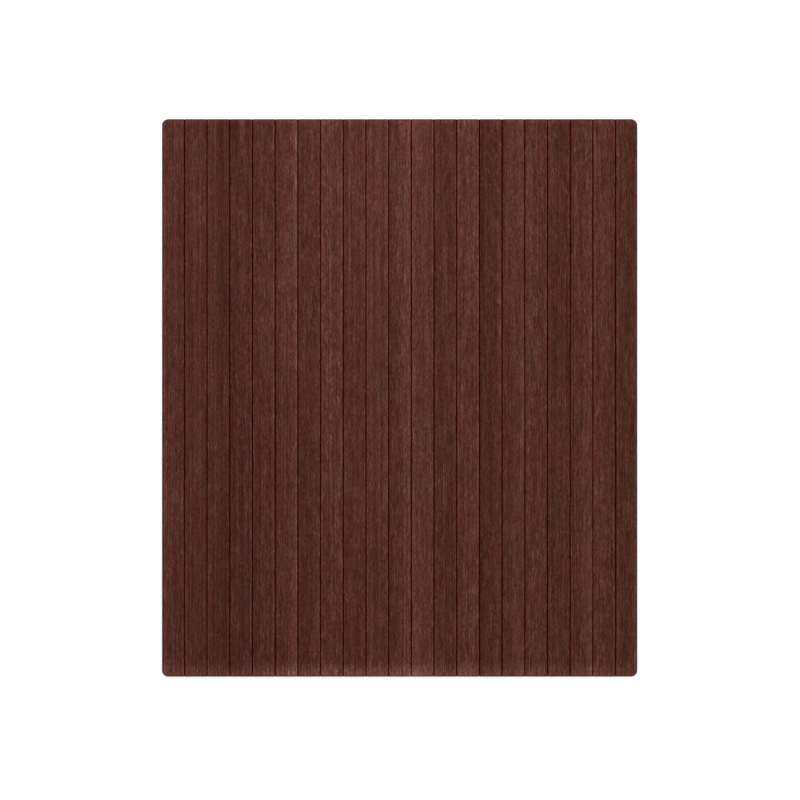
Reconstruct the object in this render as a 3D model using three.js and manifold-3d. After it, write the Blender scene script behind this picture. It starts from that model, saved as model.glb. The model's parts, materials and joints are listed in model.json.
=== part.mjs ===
// Roll-up bamboo chair mat: slats laid side by side, each on its own strip of felt backing.
// Millimetres. Origin at the centre of the underside, +X across the slats, +Y along them, +Z up.
import * as THREE from "three";
import { mergeVertices } from "three/addons/utils/BufferGeometryUtils.js";
import Module from "manifold-3d";

// ---- driving dimensions ----
const SLATS = 21;
const PITCH = 53.55; // seam to seam
const FIRST = 53.0; // left edge to the first seam
const LAST = 51.3; // last seam to the right edge
const WIDTH = FIRST + PITCH * (SLATS - 2) + LAST;
const LENGTH = 1316; // along the slats

const FELT_T = 2.0; // felt backing and its glue line
const GLUE_GAP = 0.05; // keeps the felt and the wood from touching
const SLAT_T = 5.0;
const TOP_Z = FELT_T + SLAT_T;

const CORNER_R = 15; // plan radius of the mat's four corners
const RIM_R = 3.0; // round-over along the mat's outer top edge
const ARRIS_R = 0.8; // eased long edges of the slats, at the seams
const SLAT_GAP = 1.2; // between neighbouring slats
const FELT_GAP = 1.6; // between neighbouring felt strips
const FELT_INSET = 1.2; // the felt stops this far inside the slats' outer edge

// ---- cutting allowances ----
const PLAN_OVERCUT = 10; // cutters pass the mat's outer edges by this much
const Z_OVERCUT = 5; // strip blocks pass the faces they leave whole
const ARRIS_OVERCUT = 0.5; // arris cutters pass the slat's top and side
const CUT_LENGTH = LENGTH + 2 * PLAN_OVERCUT;

// ---- mesh detail ----
const CORNER_SEGMENTS = 8;
const RIM_SEGMENTS = 6;
const ARRIS_SEGMENTS = 4;
const MERGE_TOLERANCE = 1e-4;

// ---- materials ----
const wood = new THREE.MeshStandardMaterial({ color: 0x542f27, roughness: 0.38, metalness: 0 });
const felt = new THREE.MeshStandardMaterial({ color: 0x2b2a2c, roughness: 0.95, metalness: 0 });

// ---- solid helpers ----
const wasm = await Module();
wasm.setup();

// Normals and UVs go first, so that vertices merge by position alone into a closed solid.
function toSolid(geometry) {
  geometry.deleteAttribute("normal");
  geometry.deleteAttribute("uv");
  const merged = mergeVertices(geometry, MERGE_TOLERANCE);
  return new wasm.Manifold(
    new wasm.Mesh({
      numProp: 3,
      vertProperties: new Float32Array(merged.attributes.position.array),
      triVerts: new Uint32Array(merged.index.array),
    }),
  );
}

function toMesh(name, solid, material) {
  const { vertProperties, triVerts } = solid.getMesh();
  const geometry = new THREE.BufferGeometry()
    .setAttribute("position", new THREE.BufferAttribute(new Float32Array(vertProperties), 3))
    .setIndex(new THREE.BufferAttribute(new Uint32Array(triVerts), 1));
  geometry.computeVertexNormals();
  const mesh = new THREE.Mesh(geometry, material);
  mesh.name = name;
  return mesh;
}

// The mat's plan outline, drawn in from its outer edge by the inset.
function matOutline(inset) {
  const x = WIDTH / 2 - inset;
  const y = LENGTH / 2 - inset;
  const radius = CORNER_R - inset;
  const outline = new THREE.Shape();
  outline.moveTo(-x + radius, -y);
  outline.lineTo(x - radius, -y);
  outline.absarc(x - radius, -y + radius, radius, -Math.PI / 2, 0, false);
  outline.lineTo(x, y - radius);
  outline.absarc(x - radius, y - radius, radius, 0, Math.PI / 2, false);
  outline.lineTo(-x + radius, y);
  outline.absarc(-x + radius, y - radius, radius, Math.PI / 2, Math.PI, false);
  outline.lineTo(-x, -y + radius);
  outline.absarc(-x + radius, -y + radius, radius, Math.PI, Math.PI * 1.5, false);
  outline.closePath();
  return outline;
}

// ---- blanks, before they are divided at the seams ----
// All the slats as one board. Its lower bevel hangs below the slats' underside
// and is left out by the strip blocks.
function boardBlank() {
  const depth = 6; // straight wall between the two bevels
  const geometry = new THREE.ExtrudeGeometry(matOutline(RIM_R), {
    depth,
    curveSegments: CORNER_SEGMENTS,
    bevelEnabled: true,
    bevelThickness: RIM_R,
    bevelSize: RIM_R,
    bevelSegments: RIM_SEGMENTS,
  });
  return toSolid(geometry.translate(0, 0, TOP_Z - RIM_R - depth));
}

function feltBlank() {
  return toSolid(
    new THREE.ExtrudeGeometry(matOutline(FELT_INSET), {
      depth: FELT_T - GLUE_GAP,
      curveSegments: CORNER_SEGMENTS,
      bevelEnabled: false,
    }),
  );
}

// ---- cutters ----
// A block over the mat's full length, which picks one strip out of a blank.
function stripBlock([left, right], bottom, top) {
  const geometry = new THREE.BoxGeometry(right - left, CUT_LENGTH, top - bottom);
  return toSolid(geometry.translate((left + right) / 2, 0, (bottom + top) / 2));
}

// Rounds one long top edge of a slat. side is +1 for its right edge, -1 for its left.
function arrisCutter(edgeX, side) {
  const arcZ = TOP_Z - ARRIS_R;
  const profile = new THREE.Shape();
  profile.moveTo(-ARRIS_R, TOP_Z + ARRIS_OVERCUT);
  for (let i = 0; i <= ARRIS_SEGMENTS; i++) {
    const angle = Math.PI / 2 - (i / ARRIS_SEGMENTS) * (Math.PI / 2);
    profile.lineTo(-ARRIS_R + ARRIS_R * Math.cos(angle), arcZ + ARRIS_R * Math.sin(angle));
  }
  profile.lineTo(ARRIS_OVERCUT, arcZ);
  profile.lineTo(ARRIS_OVERCUT, TOP_Z + ARRIS_OVERCUT);
  profile.closePath();
  const geometry = new THREE.ExtrudeGeometry(profile, { depth: CUT_LENGTH, bevelEnabled: false });
  geometry.rotateX(Math.PI / 2); // the profile's height turns to +Z and its depth to -Y
  geometry.translate(0, CUT_LENGTH / 2, 0);
  if (side < 0) geometry.rotateZ(Math.PI);
  return toSolid(geometry.translate(edgeX, 0, 0));
}

// ---- pieces ----
const board = boardBlank();
const sheet = feltBlank();

const edges = [-WIDTH / 2 - PLAN_OVERCUT];
for (let i = 0; i < SLATS - 1; i++) edges.push(-WIDTH / 2 + FIRST + i * PITCH);
edges.push(WIDTH / 2 + PLAN_OVERCUT);

const hasLeftSeam = (i) => i > 0;
const hasRightSeam = (i) => i < SLATS - 1;

// Left and right x of strip i, drawn back from its seams by half the gap.
function stripSpan(i, gap) {
  return [
    edges[i] + (hasLeftSeam(i) ? gap / 2 : 0),
    edges[i + 1] - (hasRightSeam(i) ? gap / 2 : 0),
  ];
}

function slatSolid(i) {
  const span = stripSpan(i, SLAT_GAP);
  let slat = board.intersect(stripBlock(span, FELT_T, TOP_Z + Z_OVERCUT));
  if (hasLeftSeam(i)) slat = slat.subtract(arrisCutter(span[0], -1));
  if (hasRightSeam(i)) slat = slat.subtract(arrisCutter(span[1], 1));
  return slat;
}

function backingSolid(i) {
  return sheet.intersect(stripBlock(stripSpan(i, FELT_GAP), -Z_OVERCUT, FELT_T + Z_OVERCUT));
}

// ---- the mat ----
const mat = new THREE.Group();
mat.name = "roll_up_chair_mat";
for (let i = 0; i < SLATS; i++) {
  const number = String(i + 1).padStart(2, "0");
  mat.add(toMesh("slat_" + number, slatSolid(i), wood));
  mat.add(toMesh("backing_" + number, backingSolid(i), felt));
}

export default mat;
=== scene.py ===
import json
import math

import bmesh
import bpy
import numpy as np
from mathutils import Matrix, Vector

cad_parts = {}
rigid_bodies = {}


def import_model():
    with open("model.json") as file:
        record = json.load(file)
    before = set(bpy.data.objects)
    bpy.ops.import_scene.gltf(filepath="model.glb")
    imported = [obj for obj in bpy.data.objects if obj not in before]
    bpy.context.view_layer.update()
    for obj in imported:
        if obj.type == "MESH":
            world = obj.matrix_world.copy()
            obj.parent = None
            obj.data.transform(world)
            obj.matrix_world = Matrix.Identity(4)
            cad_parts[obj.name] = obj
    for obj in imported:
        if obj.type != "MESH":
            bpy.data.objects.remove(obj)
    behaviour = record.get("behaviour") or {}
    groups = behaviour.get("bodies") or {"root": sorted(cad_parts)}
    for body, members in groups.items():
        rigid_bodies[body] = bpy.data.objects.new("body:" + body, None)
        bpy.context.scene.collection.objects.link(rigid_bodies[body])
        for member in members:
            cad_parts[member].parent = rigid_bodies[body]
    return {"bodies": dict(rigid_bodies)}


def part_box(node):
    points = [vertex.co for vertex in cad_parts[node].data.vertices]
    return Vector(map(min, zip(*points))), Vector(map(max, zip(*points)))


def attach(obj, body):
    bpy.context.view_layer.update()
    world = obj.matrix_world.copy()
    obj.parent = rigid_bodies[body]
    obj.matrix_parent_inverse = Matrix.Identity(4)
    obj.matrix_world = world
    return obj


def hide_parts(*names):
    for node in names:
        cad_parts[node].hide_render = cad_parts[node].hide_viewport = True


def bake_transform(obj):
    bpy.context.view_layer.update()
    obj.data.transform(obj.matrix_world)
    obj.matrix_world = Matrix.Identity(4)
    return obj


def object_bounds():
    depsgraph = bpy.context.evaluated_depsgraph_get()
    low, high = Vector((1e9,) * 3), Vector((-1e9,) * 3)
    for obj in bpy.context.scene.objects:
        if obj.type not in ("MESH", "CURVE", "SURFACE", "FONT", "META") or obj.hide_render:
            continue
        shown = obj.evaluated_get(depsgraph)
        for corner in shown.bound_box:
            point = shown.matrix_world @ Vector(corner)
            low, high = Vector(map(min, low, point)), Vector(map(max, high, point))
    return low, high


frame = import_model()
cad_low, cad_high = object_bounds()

MM = 0.001
SLATS = 21
CORNER = 15.0 * MM  # plan radius of the mat's corners
RIM = 3.0 * MM  # round-over of the outer top edge
ARRIS = 0.8 * MM  # eased long edges between slats
CENTRE = (cad_low + cad_high) / 2
HALF_W = (cad_high.x - cad_low.x) / 2
HALF_L = (cad_high.y - cad_low.y) / 2

# Slat by slat, left to right: its shade against the mat's average, how its stain leans from olive (-) to red (+),
# how much lighter (+) its right side is than its left, and how strong the painted highlight is along its right arris.
SHADE = [0.98, 0.92, 0.82, 0.84, 0.95, 1.12, 0.93, 1.19, 1.05, 1.09, 1.09,
         1.29, 0.94, 1.16, 0.84, 1.03, 1.06, 0.89, 1.05, 1.03, 0.89]
LEAN = [0.1, 0.2, 0.0, -0.3, 0.1, 0.2, -0.2, 0.1, 0.4, 0.0, -0.1,
        0.1, -0.2, 0.3, -0.3, 0.2, 0.0, -0.4, 0.0, 0.1, -0.2]

SIDE = [-0.2, 0.0, -1.1, 0.0, 0.3, 1.5, 0.8, -0.6, 0.3, -0.2, 1.7,
        -0.7, -0.5, 0.3, 1.5, 1.3, -0.6, -0.4, 0.9, -0.9, -0.5]
# strength of the painted highlight along each slat's right arris
ARRIS_HIGHLIGHT = [1.0, 0.3, 1.7, 1.6, 1.9, 1.6, 0.9, 1.9, 0.6, 1.6, 0.3,
          1.3, 1.1, 1.3, 0.4, 0.1, 1.0, 0.9, 0.1, 0.9, 0.0]

def unit(i):
    return f"slat_unit_{i:02d}"


def linear(rgb):
    """Linear colour of an 8-bit sRGB one."""
    c = [v / 255 for v in rgb]
    return [v / 12.92 if v <= 0.04045 else ((v + 0.055) / 1.055) ** 2.4 for v in c]


def wave(y, size, lengths, seed):
    """A smooth wander along y made of a few sine waves, about +-size high."""
    r = np.random.RandomState(seed)
    total = np.zeros_like(y)
    for length in lengths:
        total += np.sin(2 * math.pi * (y / length + r.rand())) * r.uniform(0.5, 1.0)
    return total * size / len(lengths)


def rim_distance(x, y):
    """How far inside the mat's outline a point is."""
    qx = np.abs(x - CENTRE.x) - (HALF_W - CORNER)
    qy = np.abs(y - CENTRE.y) - (HALF_L - CORNER)
    return CORNER - np.hypot(np.maximum(qx, 0), np.maximum(qy, 0)) - np.minimum(np.maximum(qx, qy), 0)


def round_over(distance, radius):
    """Drop below the flat top of a quarter-round edge."""
    inner = np.clip(radius - distance, 0, radius)
    return radius - np.sqrt(np.maximum(radius**2 - inner**2, 0))


def corner_inset(y, half_length, radius):
    """How far the outline pulls in at y because of the corner radius."""
    past = np.clip(np.abs(y - CENTRE.y) - (half_length - radius), 0, radius)
    return radius - np.sqrt(np.maximum(radius**2 - past**2, 0))


def stations(half_length, radius, step, inner):
    """Places along Y: close together round the corners and the rim, then even."""
    end = [radius * (1 - math.sin(math.radians(a))) for a in range(90, -1, -6)] + list(inner)
    middle = half_length - end[-1]
    count = max(2, round(2 * middle / step))
    low = [-half_length + e for e in end]
    return CENTRE.y + np.array(low + list(np.linspace(-middle, middle, count + 1)[1:-1]) + [-v for v in reversed(low)])


def quarter(radius, step):
    return [radius * (1 - math.cos(math.radians(a))) for a in range(0, 91, step)]


def loft(name, loops):
    """A closed body through loops, an array of stations x points x 3, capped at both ends."""
    rows, n = loops.shape[:2]
    verts = loops.reshape(-1, 3)
    faces = []
    for j in range(rows - 1):
        for k in range(n):
            a, b = j * n + k, j * n + (k + 1) % n
            faces.append((a, b, b + n, a + n))
    faces.append(tuple(range(n)))
    faces.append(tuple(reversed(range((rows - 1) * n, rows * n))))
    mesh = bpy.data.meshes.new(name)
    mesh.from_pydata(verts.tolist(), [], faces)
    return mesh


def finish_mesh(mesh, sharp=32):
    bm = bmesh.new()
    bm.from_mesh(mesh)
    bmesh.ops.recalc_face_normals(bm, faces=bm.faces)
    for f in bm.faces:
        f.smooth = True
    bm.to_mesh(mesh)
    bm.free()
    mesh.set_sharp_from_angle(angle=math.radians(sharp))
    mesh.update()


def keep(mesh, name, values):
    a = mesh.attributes.new(name, "FLOAT_VECTOR", "POINT")
    a.data.foreach_set("vector", np.ascontiguousarray(values, np.float32).ravel())


def add(mesh, name):
    o = bpy.data.objects.new(name, mesh)
    bpy.context.scene.collection.objects.link(o)
    return o


# ---- node graphs ----
class Graph:
    def __init__(self, name):
        self.material = bpy.data.materials.new(name)
        self.material.use_nodes = True
        self.tree = self.material.node_tree
        self.tree.nodes.clear()

    def put(self, socket, value):
        if isinstance(value, bpy.types.NodeSocket):
            self.tree.links.new(value, socket)
        elif hasattr(value, "__len__"):
            socket.default_value = (list(value) + [1.0])[: len(socket.default_value)]
        else:
            socket.default_value = value

    def node(self, kind, inputs=(), **settings):
        n = self.tree.nodes.new("ShaderNode" + kind)
        for key, value in settings.items():
            setattr(n, key, value)
        for key, value in dict(inputs).items():
            self.put(n.inputs[key], value)
        return n

    def math(self, operation, *values, clamp=False):
        return self.node("Math", enumerate(values), operation=operation, use_clamp=clamp).outputs[0]

    def add(self, *values):
        total = values[0]
        for v in values[1:]:
            total = self.math("ADD", total, v)
        return total

    def times(self, *values):
        total = values[0]
        for v in values[1:]:
            total = self.math("MULTIPLY", total, v)
        return total

    def split(self, attribute):
        a = self.node("Attribute", attribute_name=attribute).outputs["Vector"]
        return self.node("SeparateXYZ", {0: a}).outputs

    def vector(self, attribute):
        return self.node("Attribute", attribute_name=attribute).outputs["Vector"]

    def noise(self, where, size, detail=2.0, rough=0.55, shift=(0, 0, 0), distortion=0.0):
        """Noise about 0, about -1 to 1, whose blobs measure size (metres) along each axis."""
        v = self.node("VectorMath", {0: where, 1: [1 / s for s in size]}, operation="MULTIPLY").outputs[0]
        v = self.node("VectorMath", {0: v, 1: shift}, operation="ADD").outputs[0]
        n = self.node("TexNoise", {"Vector": v, "Scale": 1.0, "Detail": detail, "Roughness": rough, "Distortion": distortion})
        return self.math("MULTIPLY_ADD", n.outputs[0], 2.0, -1.0)

    def step(self, value, low, high, to_low=0.0, to_high=1.0):
        """Smooth step from to_low at low to to_high at high. low may be above high."""
        if low > high:
            low, high, to_low, to_high = high, low, to_high, to_low
        return self.node(
            "MapRange", {0: value, 1: low, 2: high, 3: to_low, 4: to_high}, interpolation_type="SMOOTHSTEP", clamp=True
        ).outputs[0]

    def bump_band(self, value, a, b, c, d):
        """1 between b and c, easing to 0 at a and d."""
        return self.times(self.step(value, a, b), self.step(value, d, c))

    def mix(self, factor, a, b):
        n = self.node("Mix", data_type="RGBA", clamp_factor=True)
        self.put(n.inputs[0], factor)
        self.put(n.inputs[6], a)
        self.put(n.inputs[7], b)
        return n.outputs[2]

    def scale(self, colour, factor):
        n = self.node("VectorMath", {0: colour}, operation="SCALE")
        self.put(n.inputs["Scale"], factor)
        return n.outputs[0]

    def bump(self, height, strength, distance, normal=None):
        n = self.node("Bump", {"Strength": strength, "Distance": distance, "Height": height})
        if normal is not None:
            self.put(n.inputs["Normal"], normal)
        return n.outputs[0]

    def surface(self, **inputs):
        bsdf = self.node("BsdfPrincipled")
        for key, value in inputs.items():
            self.put(bsdf.inputs[key.replace("_", " ")], value)
        out = self.node("OutputMaterial", {"Surface": bsdf.outputs[0]})
        return self.material


def rgba(rgb, gain=1.0):
    return [v * gain for v in linear(rgb)] + [1.0]


GAIN = 0.525  # stain colours against what the studio light brings up


def bamboo():
    g = Graph("stained_bamboo")
    grain = g.vector("grain")
    left, right, rim = g.split("place")
    tone, lean, side = g.split("tone")
    far, near, across = g.split("ends")
    arris_highlight, glare_strength, _ = g.split("marks")

    # Grain: straight fibres with a slow wander, in streaks of several widths.
    wander = g.noise(grain, (0.03, 0.22, 0.03), 1.0)
    offset = g.node("CombineXYZ", {0: g.times(wander, 0.0009)}).outputs[0]
    p = g.node("VectorMath", {0: grain, 1: offset}, operation="ADD").outputs[0]
    broad = g.noise(p, (0.0115, 0.36, 0.03), 1.5, 0.5)
    wide = g.noise(p, (0.024, 0.9, 0.05), 1.0, 0.5, (2.2, 3.1, 6.6))
    patch = g.noise(p, (0.010, 0.045, 0.02), 2.0, 0.5, (3.1, 7.7, 1.3))
    line = g.noise(p, (0.0033, 1.5, 0.02), 2.0, 0.6, (7.0, 5.0, 3.0))
    streak = g.noise(p, (0.0028, 0.10, 0.006), 2.0, 0.6, (11.0, 2.0, 5.0))
    fine = g.noise(p, (0.0024, 0.026, 0.004), 2.0, 0.6, (1.0, 9.0, 4.0))
    grit = g.noise(p, (0.0021, 0.0075, 0.004), 1.0, 0.5, (6.0, 7.0, 9.0))
    fibre = g.noise(p, (0.00042, 0.020, 0.0008), 2.0, 0.6, (8.0, 3.0, 2.0))
    pores = g.step(g.noise(p, (0.00036, 0.007, 0.0005), 1.0, 0.5, (1.0, 2.0, 7.0)), 0.22, 0.5)
    dash = g.step(g.noise(p, (0.0017, 0.012, 0.002), 1.0, 0.5, (2.0, 6.0, 8.0)), 0.22, 0.62)
    fleck = g.step(g.noise(p, (0.0019, 0.014, 0.002), 1.0, 0.5, (5.0, 1.0, 3.0)), 0.25, 0.7)

    value = g.add(
        g.times(broad, 0.30),
        g.times(patch, 0.38),
        g.times(line, 0.64),
        g.times(streak, 0.62),
        g.times(fine, 0.95),
        g.times(grit, 1.02),
        g.times(fibre, 0.56),
        g.times(pores, -0.34),
        g.times(dash, -0.14),
        g.times(fleck, 0.40),
        g.times(side, across, 0.16),
        g.times(wide, 0.10),
    )
    value = g.times(g.math("EXPONENT", value), tone)
    shade = g.node("CombineXYZ", {0: g.math("POWER", value, 0.78), 1: g.math("POWER", value, 1.08), 2: g.math("POWER", value, 1.2)}).outputs[0]

    # Stain: cherry brown that leans to olive, red and a little violet in soft patches.
    hue = g.noise(p, (0.018, 0.11, 0.03), 2.0, 0.5, (4.0, 4.0, 9.0))
    hue2 = g.noise(p, (0.009, 0.07, 0.02), 2.0, 0.5, (6.0, 8.0, 1.0))
    colour = g.mix(g.step(g.add(hue, g.times(lean, -0.25)), 0.0, 0.5, 0.0, 0.62), rgba((84, 45, 36)), rgba((75, 50, 35)))
    colour = g.mix(g.step(g.add(hue, g.times(lean, -0.25)), -0.0, -0.5, 0.0, 0.5), colour, rgba((90, 42, 38)))
    colour = g.mix(g.step(hue2, 0.05, 0.5, 0.0, 0.5), colour, rgba((80, 45, 47)))

    # The ends: redder over the last centimetre at the far end; towards the near one a painted reflection of the light,
    # lighter and pinker.
    far_end = g.step(far, 16.0, 9.0, 0.0, 0.6)
    colour = g.mix(far_end, colour, rgba((96, 48, 45)))
    painted_glare = g.math("POWER", g.step(g.add(near, g.times(patch, 9.0)), 46.0, 1.0), 1.5)
    colour = g.mix(g.times(painted_glare, glare_strength), colour, rgba((114, 68, 64)))

    # Painted highlight: a pale line just inside the right arris and inside the rim, where the eased edges catch the
    # light.
    highlight_breakup = g.step(g.noise(p, (0.01, 0.05, 0.01), 2.0, 0.5, (9.0, 9.0, 2.0)), -0.5, 0.4, 0.35, 1.0)
    pale = g.times(g.bump_band(right, 1.5, 2.3, 3.2, 4.8), highlight_breakup, arris_highlight, 0.30)
    pale = g.add(pale, g.times(g.bump_band(left, 1.8, 2.5, 3.0, 4.6), highlight_breakup, 0.06))
    pale = g.math("MAXIMUM", pale, g.times(g.bump_band(rim, 3.2, 4.4, 5.8, 7.4), highlight_breakup, 0.45))
    colour = g.mix(pale, colour, rgba((112, 68, 62)))
    colour = g.node("VectorMath", {0: colour, 1: shade}, operation="MULTIPLY").outputs[0]

    # Stain and painted shade on the seam walls and arrises; painted shade on the rim's outer slope.
    # the seam walls and arrises darkened to a deep red: stain together with painted shade for the gap and its eased
    # edges
    seam = g.step(g.math("MINIMUM", left, right), 1.2, 0.55)
    colour = g.mix(g.times(seam, 0.97), colour, rgba((64, 3, 0)))
    # painted shade: the rim's outer slope darkened, much less at the near end
    painted_rim_shade = g.times(g.step(rim, 3.7, 1.5), g.step(near, 3.2, 0.5, 1.0, 0.12), g.step(far, 3.2, 0.5, 1.0, 0.9))
    colour = g.mix(g.times(painted_rim_shade, 0.92), colour, rgba((34, 19, 17)))
    colour = g.node("VectorMath", {0: colour, 1: (GAIN * 0.994, GAIN * 0.979, GAIN * 0.942)}, operation="MULTIPLY").outputs[0]

    rough = g.add(0.28, g.times(line, 0.04), g.times(broad, 0.04), g.times(seam, 0.25), g.times(painted_rim_shade, 0.12))
    pore = g.noise(p, (0.0005, 0.05, 0.001), 2.0, 0.6, (2.0, 5.0, 7.0))
    height = g.add(g.times(pore, 0.8), g.times(streak, 0.5), g.times(fibre, 0.15))
    normal = g.bump(height, 0.09, 0.0001)
    coated = g.math("SUBTRACT", g.step(g.math("MINIMUM", left, right), 1.0, 2.0), g.times(painted_rim_shade, 0.8), clamp=True)
    # the thin satin coat doesn't turn the wood white where it is seen along its surface
    facing = g.node("LayerWeight", {"Blend": 0.5}).outputs["Facing"]
    coated = g.times(coated, g.step(facing, 0.75, 0.25))
    return g.surface(
        Base_Color=colour,
        Roughness=rough,
        Normal=normal,
        Specular_IOR_Level=g.times(coated, 0.18),
        Coat_Weight=g.times(coated, 0.11),
        Coat_Roughness=0.24,
    )


def felt():
    g = Graph("felt_backing")
    p = g.vector("grain")
    cloud = g.noise(p, (0.03, 0.03, 0.03), 3.0, 0.6)
    tuft = g.noise(p, (0.0032, 0.0032, 0.003), 3.0, 0.65, (3.0, 1.0, 7.0), 0.6)
    hair = g.noise(p, (0.0004, 0.0022, 0.0005), 3.0, 0.7, (5.0, 2.0, 1.0), 1.2)
    hair2 = g.noise(p, (0.0021, 0.00045, 0.0005), 3.0, 0.7, (1.0, 8.0, 4.0), 1.2)
    mottle = g.noise(p, (0.011, 0.011, 0.008), 3.0, 0.7, (9.0, 4.0, 2.0), 1.0)
    lint = g.step(g.noise(p, (0.0022, 0.0007, 0.0008), 1.0, 0.5, (2.0, 4.0, 6.0), 2.0), 0.32, 0.55)
    lint2 = g.step(g.noise(p, (0.0007, 0.0024, 0.0008), 1.0, 0.5, (7.0, 1.0, 3.0), 2.0), 0.34, 0.57)
    value = g.add(g.times(cloud, 0.6), g.times(mottle, 1.5), g.times(tuft, 1.8), g.times(hair, 1.8), g.times(hair2, 1.8))
    colour = g.scale(rgba((52, 50, 53)), g.math("EXPONENT", value))
    colour = g.mix(g.times(g.math("MAXIMUM", lint, lint2), 0.6), colour, rgba((128, 124, 128)))
    seam, lift, _ = g.split("place")
    soaked = g.times(g.step(seam, 2.6, 1.2), g.step(lift, 0.9, 1.6))
    colour = g.mix(g.times(soaked, 0.95), colour, rgba((40, 3, 0)))
    height = g.add(g.times(mottle, 0.6), g.times(tuft, 0.8), g.times(hair, 0.5), g.times(hair2, 0.5))
    normal = g.bump(height, 0.9, 0.0008)
    return g.surface(
        Base_Color=colour,
        Roughness=0.96,
        Normal=normal,
        Specular_IOR_Level=g.math("MULTIPLY_ADD", soaked, -0.15, 0.15),
        Sheen_Weight=g.math("MULTIPLY_ADD", soaked, -0.25, 0.25),
        Sheen_Roughness=0.6,
    )


def sweep():
    """The studio floor: pale and matt round the mat, running out into an even white sweep so that no horizon shows."""
    g = Graph("studio_floor")
    p = g.node("TexCoord").outputs["Object"]
    n = g.noise(p, (0.4, 0.4, 0.4), 2.0)
    away = g.node("VectorMath", {0: p}, operation="LENGTH").outputs["Value"]
    paint = g.node("BsdfDiffuse", {"Color": g.scale((0.64, 0.64, 0.64), g.add(1.0, g.times(n, 0.01))), "Roughness": 0.0})
    glow = g.node("Emission", {"Color": (1, 1, 1, 1)})
    path = g.node("LightPath").outputs
    g.put(glow.inputs["Strength"], g.add(0.3, g.times(path["Is Camera Ray"], 0.9), g.times(path["Is Glossy Ray"], -0.22)))
    both = g.node("MixShader", {0: g.step(away, 1.6, 4.2, 0.45, 1.0)})
    g.put(both.inputs[1], paint.outputs[0])
    g.put(both.inputs[2], glow.outputs[0])
    g.node("OutputMaterial", {"Surface": both.outputs[0]})
    return g.material


BAMBOO = bamboo()
FELT = felt()


# ---- slats ----
SLAT_Y = stations(HALF_L, CORNER, 0.028, (0.018, 0.026, 0.038, 0.055))


def make_slat(i):
    low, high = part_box(f"slat_{i:02d}")
    first, last = i == 1, i == SLATS
    width = high.x - low.x
    rim_steps = quarter(RIM, 10) + [v * MM for v in (4.0, 5.5, 7.5, 10.0, 13.0, 17.0)]
    arris_steps = quarter(ARRIS, 15) + [v * MM for v in (1.3, 2.2, 3.6)]
    at_left = rim_steps if first else arris_steps
    at_right = rim_steps if last else arris_steps
    middle = np.linspace(at_left[-1], width - at_right[-1], 11)[1:-1]
    columns = np.array(list(at_left) + list(middle) + [width - v for v in reversed(at_right)])
    y = SLAT_Y
    inset = corner_inset(y, HALF_L, CORNER)
    x_left = low.x + (inset if first else wave(y, 0.035 * MM, (0.41, 0.17, 0.09), 100 + i))
    x_right = high.x - (inset if last else wave(y, 0.035 * MM, (0.37, 0.16, 0.08), 300 + i))
    share = columns / width
    x = x_left[:, None] + (x_right - x_left)[:, None] * share[None, :]
    yy = np.repeat(y[:, None], len(columns), 1)
    rim = rim_distance(x, yy)
    from_left = x - x_left[:, None]
    from_right = x_right[:, None] - x
    drop = round_over(np.maximum(rim, 0), RIM)
    if not first:
        drop = np.hypot(drop, round_over(from_left, ARRIS))
    if not last:
        drop = np.hypot(drop, round_over(from_right, ARRIS))
    bow = 2 * share - 1
    r = np.random.RandomState(500 + i)
    warp = (
        r.uniform(0.03, 0.09) * MM * bow[None, :] ** 2
        + r.uniform(-0.05, 0.05) * MM * bow[None, :]
        + wave(y, 0.04 * MM, (0.9, 0.37), 700 + i)[:, None]
        + 0.08 * MM
    )
    z = high.z - drop - warp
    chamfer = 0.3 * MM
    n_bottom = 6
    loops = []
    for j in range(len(y)):
        top = np.stack([x[j], yy[j], z[j]], 1)
        xl, xr = x[j, 0], x[j, -1]
        under = [(xr, y[j], low.z + chamfer)]
        for s in np.linspace(0, 1, n_bottom):
            under.append((xr - chamfer + (xl + chamfer - xr + chamfer) * s, y[j], low.z))
        under.append((xl, y[j], low.z + chamfer))
        loops.append(np.vstack([top, under]))
    loops = np.array(loops)
    name = f"bamboo_slat_{i:02d}"
    mesh = loft(name, loops)
    co = loops.reshape(-1, 3)
    xl_all = np.repeat(x_left, loops.shape[1])
    xr_all = np.repeat(x_right, loops.shape[1])
    place = np.stack(
        [
            np.full(len(co), 500.0) if first else (co[:, 0] - xl_all) / MM,
            np.full(len(co), 500.0) if last else (xr_all - co[:, 0]) / MM,
            np.maximum(rim_distance(co[:, 0], co[:, 1]), 0) / MM,
        ],
        1,
    )
    shift = np.array([i * 0.37 + r.uniform(0, 0.2), r.uniform(-3, 3), r.uniform(-1, 1)])
    keep(mesh, "place", place)
    keep(mesh, "grain", co + shift)
    keep(mesh, "ends", np.stack([(HALF_L + CENTRE.y - co[:, 1]) / MM, (co[:, 1] - CENTRE.y + HALF_L) / MM,
                                 2 * (co[:, 0] - xl_all) / np.maximum(xr_all - xl_all, 1e-6) - 1], 1))
    r.uniform(-1, 1)
    # strength of the painted reflection at the near end, strongest just left of the middle of the mat
    glare_strength = 0.55 + 0.62 * math.exp(-((((low.x + high.x) / 2 + 0.14) / 0.3) ** 2))
    # painted light: each slat brighter towards the far end and darker towards the near end, most left of the middle
    middle_x = (low.x + high.x) / 2
    painted_falloff = 0.03 + 0.09 * math.exp(-(((middle_x + 0.12) / 0.26) ** 2))
    tone = SHADE[i - 1] * np.exp(painted_falloff * (co[:, 1] - CENTRE.y) / HALF_L)
    keep(mesh, "tone", np.stack([tone, np.full(len(co), LEAN[i - 1]), np.full(len(co), SIDE[i - 1])], 1))
    keep(mesh, "marks", np.tile([ARRIS_HIGHLIGHT[i - 1], glare_strength, 0.0], (len(co), 1)))
    mesh.materials.append(BAMBOO)
    finish_mesh(mesh)
    o = add(mesh, name)
    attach(o, unit(i))
    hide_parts(f"slat_{i:02d}")
    return o


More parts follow.
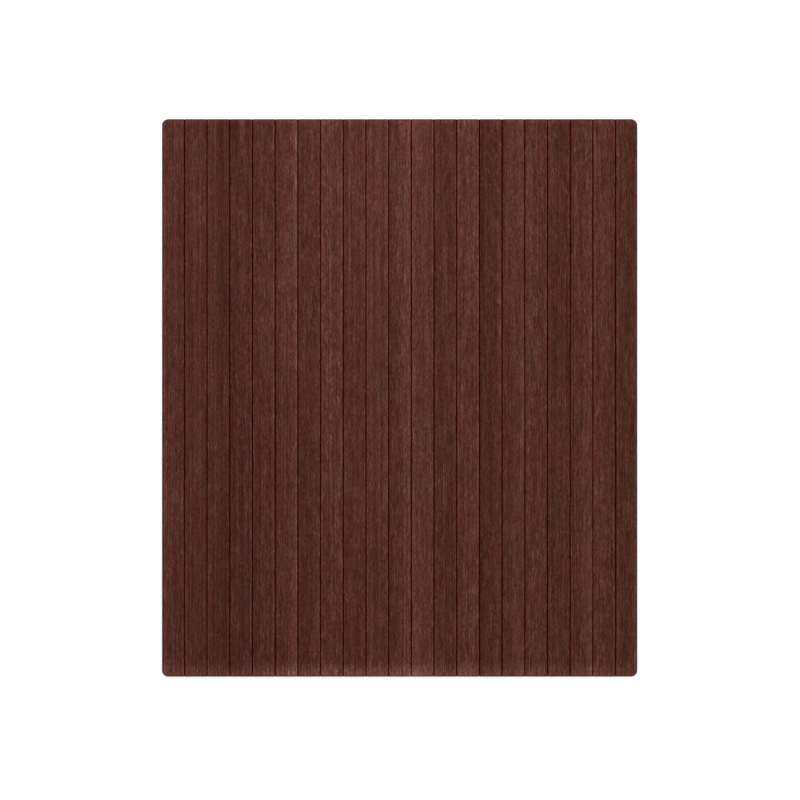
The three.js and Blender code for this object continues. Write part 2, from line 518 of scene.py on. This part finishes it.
slats = [make_slat(i) for i in range(1, SLATS + 1)]


# ---- felt backing ----
pads = [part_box(f"backing_{i:02d}") for i in range(1, SLATS + 1)]
FELT_LOW, FELT_TOP = pads[0][0].z, pads[0][1].z
FELT_HALF_L = (pads[0][1].y - pads[0][0].y) / 2
FELT_INSET = HALF_L - FELT_HALF_L
FELT_R = CORNER - FELT_INSET
FELT_Y = stations(FELT_HALF_L, FELT_R, 0.016, (0.015, 0.022))


def middle_of(i):
    low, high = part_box(f"slat_{i:02d}")
    return (low.x + high.x) / 2


def make_felt(i):
    """The felt from the middle of slat i to the middle of slat i + 1, across the seam between them."""
    seam = (pads[i - 1][1].x + pads[i][0].x) / 2
    first, last = i == 1, i == SLATS - 1
    x0 = pads[0][0].x if first else middle_of(i)
    x1 = pads[-1][1].x if last else middle_of(i + 1)
    near = [0, 0.2, 0.4, 0.6, 0.8, 1.0, 1.2, 1.6, 2.4, 4, 7, 11, 16, 21]
    offsets = sorted({-v for v in near} | set(near))
    columns = [seam + v * MM for v in offsets if x0 + 3.5 * MM < seam + v * MM < x1 - 3.5 * MM]
    edge = [0, 0.12, 0.35, 0.8, 1.6, 3.0]
    at_left = [x0 + v * MM for v in edge] if first else [x0, x0 + 2 * MM]
    at_right = [x1 - v * MM for v in reversed(edge)] if last else [x1 - 2 * MM, x1]
    if first:
        columns = [x0 + v * MM for v in (6, 10, 15, 20, 25, 30)] + [c for c in columns if c > x0 + 31 * MM]
    if last:
        columns = [c for c in columns if c < x1 - 31 * MM] + [x1 - v * MM for v in (30, 25, 20, 15, 10, 6)]
    full = np.array(at_left + columns + at_right)
    y = FELT_Y
    inset = corner_inset(y, FELT_HALF_L, FELT_R)
    left = x0 + (inset if first else 0 * inset)
    right = x1 - (inset if last else 0 * inset)
    x = np.repeat(full[None, :], len(y), 0)
    if first:
        edge_zone = full < x0 + 31 * MM
        f = (full - x0) / (31 * MM)
        x = np.where(edge_zone[None, :], left[:, None] + (x0 + 31 * MM - left)[:, None] * f[None, :], x)
    if last:
        edge_zone = full > x1 - 31 * MM
        f = (x1 - full) / (31 * MM)
        x = np.where(edge_zone[None, :], right[:, None] - (right - x1 + 31 * MM)[:, None] * f[None, :], x)
    yy = np.repeat(y[:, None], len(full), 1)
    rim = np.maximum(rim_distance(x, yy) - FELT_INSET, 0)
    soft = 0.45 * MM
    eased = round_over(rim, soft)
    # a soft, slightly uneven underside, the same on both sides of every joint between pieces
    wob = np.zeros_like(x)
    r = np.random.RandomState(77)
    for length in (0.11, 0.043, 0.019, 0.012):
        for _ in range(4):
            a = r.uniform(0, math.pi)
            wob += np.sin(2 * math.pi * ((x * math.cos(a) + yy * math.sin(a)) / length + r.rand()))
    wob = (wob / 16 * 0.5 + 0.5).clip(0, 1) * 0.16 * MM
    top = np.stack([x, yy, FELT_TOP - eased], 2)
    under = np.stack([x, yy, FELT_LOW + eased + wob], 2)[:, ::-1]
    loops = np.concatenate([top, under], 1)
    name = f"felt_backing_{i:02d}"
    mesh = loft(name, loops)
    co = loops.reshape(-1, 3)
    keep(mesh, "grain", co)
    keep(mesh, "place", np.stack([np.abs(co[:, 0] - seam) / MM, co[:, 2] / MM, 0 * co[:, 2]], 1))
    mesh.materials.append(FELT)
    finish_mesh(mesh, 50)
    o = add(mesh, name)
    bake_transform(o)
    if last:
        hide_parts(f"backing_{i:02d}", f"backing_{i + 1:02d}")
    else:
        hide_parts(f"backing_{i:02d}")
    return o


felts = [make_felt(i) for i in range(1, SLATS)]


# ---- studio ----
def make_floor():
    bm = bmesh.new()
    bmesh.ops.create_grid(bm, x_segments=8, y_segments=8, size=40.0)
    mesh = bpy.data.meshes.new("studio_floor")
    bm.to_mesh(mesh)
    bm.free()
    mesh.materials.append(sweep())
    o = add(mesh, "studio_floor")
    # It lies just under the lowest point of the slats, wherever the mat's seams hold them.
    driver = o.driver_add("location", 2).driver
    driver.type = "MIN"
    for i in range(1, SLATS + 1):
        low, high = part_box(f"slat_{i:02d}")
        for tag, x, z in (("a", low.x, 0.0), ("b", high.x, 0.0), ("c", low.x, high.z), ("d", high.x, high.z)):
            mark = bpy.data.objects.new(f"mark_{i:02d}{tag}", None)
            bpy.context.scene.collection.objects.link(mark)
            mark.parent = frame["bodies"][unit(i)]
            mark.location = (x, 0, z)
            v = driver.variables.new()
            v.name = f"h{i}{tag}"
            v.type = "TRANSFORMS"
            v.targets[0].id = mark
            v.targets[0].transform_type = "LOC_Z"
            v.targets[0].transform_space = "WORLD_SPACE"
    o.delta_location.z = -0.0003
    return o


floor = make_floor()


def softbox(name, place, aim, size, power, colour=(1, 1, 1)):
    data = bpy.data.lights.new(name, "AREA")
    data.shape = "RECTANGLE"
    data.size, data.size_y = size
    data.energy = power
    data.color = colour
    o = bpy.data.objects.new(name, data)
    bpy.context.scene.collection.objects.link(o)
    o.location = place
    o.rotation_euler = (Vector(aim) - Vector(place)).to_track_quat("-Z", "Y").to_euler()
    return o


softbox("softbox_right", (3.9, 0.1, 3.0), (0.1, 0, 0), (2.8, 3.4), 240)
softbox("softbox_left", (-3.9, 0.5, 3.0), (-0.1, 0.1, 0), (2.8, 3.4), 205)
softbox("softbox_far", (-0.9, 4.0, 3.0), (-0.1, 0.1, 0), (3.4, 2.8), 260)
softbox("softbox_near", (0.9, -4.0, 3.0), (0.1, -0.1, 0), (3.4, 2.8), 90)

world = bpy.data.worlds.new("studio")
bpy.context.scene.world = world
world.use_nodes = True
tree = world.node_tree
tree.nodes.clear()
coord = tree.nodes.new("ShaderNodeTexCoord")
xyz = tree.nodes.new("ShaderNodeSeparateXYZ")
ramp = tree.nodes.new("ShaderNodeMapRange")
ramp.interpolation_type = "SMOOTHSTEP"
ramp.inputs[1].default_value = 0.0
ramp.inputs[2].default_value = 0.85
ramp.inputs[3].default_value = 0.16
ramp.inputs[4].default_value = 0.05
tree.links.new(coord.outputs["Generated"], xyz.inputs[0])
tree.links.new(xyz.outputs[2], ramp.inputs[0])
lit = tree.nodes.new("ShaderNodeBackground")
seen = tree.nodes.new("ShaderNodeBackground")
seen.inputs["Color"].default_value = (1, 1, 1, 1)
seen.inputs["Strength"].default_value = 1.05
path = tree.nodes.new("ShaderNodeLightPath")
calm = tree.nodes.new("ShaderNodeMapRange")  # dark flags round the set keep reflections at a low angle quiet
calm.inputs[3].default_value = 1.0
calm.inputs[4].default_value = 0.4
tree.links.new(path.outputs["Is Glossy Ray"], calm.inputs[0])
level = tree.nodes.new("ShaderNodeMath")
level.operation = "MULTIPLY"
tree.links.new(ramp.outputs[0], level.inputs[0])
tree.links.new(calm.outputs[0], level.inputs[1])
tree.links.new(level.outputs[0], lit.inputs["Strength"])
blend = tree.nodes.new("ShaderNodeMixShader")
tree.links.new(path.outputs["Is Camera Ray"], blend.inputs[0])
tree.links.new(lit.outputs[0], blend.inputs[1])
tree.links.new(seen.outputs[0], blend.inputs[2])
out = tree.nodes.new("ShaderNodeOutputWorld")
tree.links.new(blend.outputs[0], out.inputs[0])

camera_data = bpy.data.cameras.new("camera")
camera_data.lens = 120
camera_data.sensor_width = 36
camera_data.clip_end = 200
camera = bpy.data.objects.new("camera", camera_data)
bpy.context.scene.collection.objects.link(camera)
camera.location = (CENTRE.x + 0.00085, CENTRE.y - 0.0050, cad_high.z + 6.292)
camera.rotation_euler = (0, 0, 0)
bpy.context.scene.camera = camera

bpy.context.scene.view_settings.view_transform = "Standard"
bpy.context.scene.view_settings.look = "None"

bpy.context.view_layer.update()
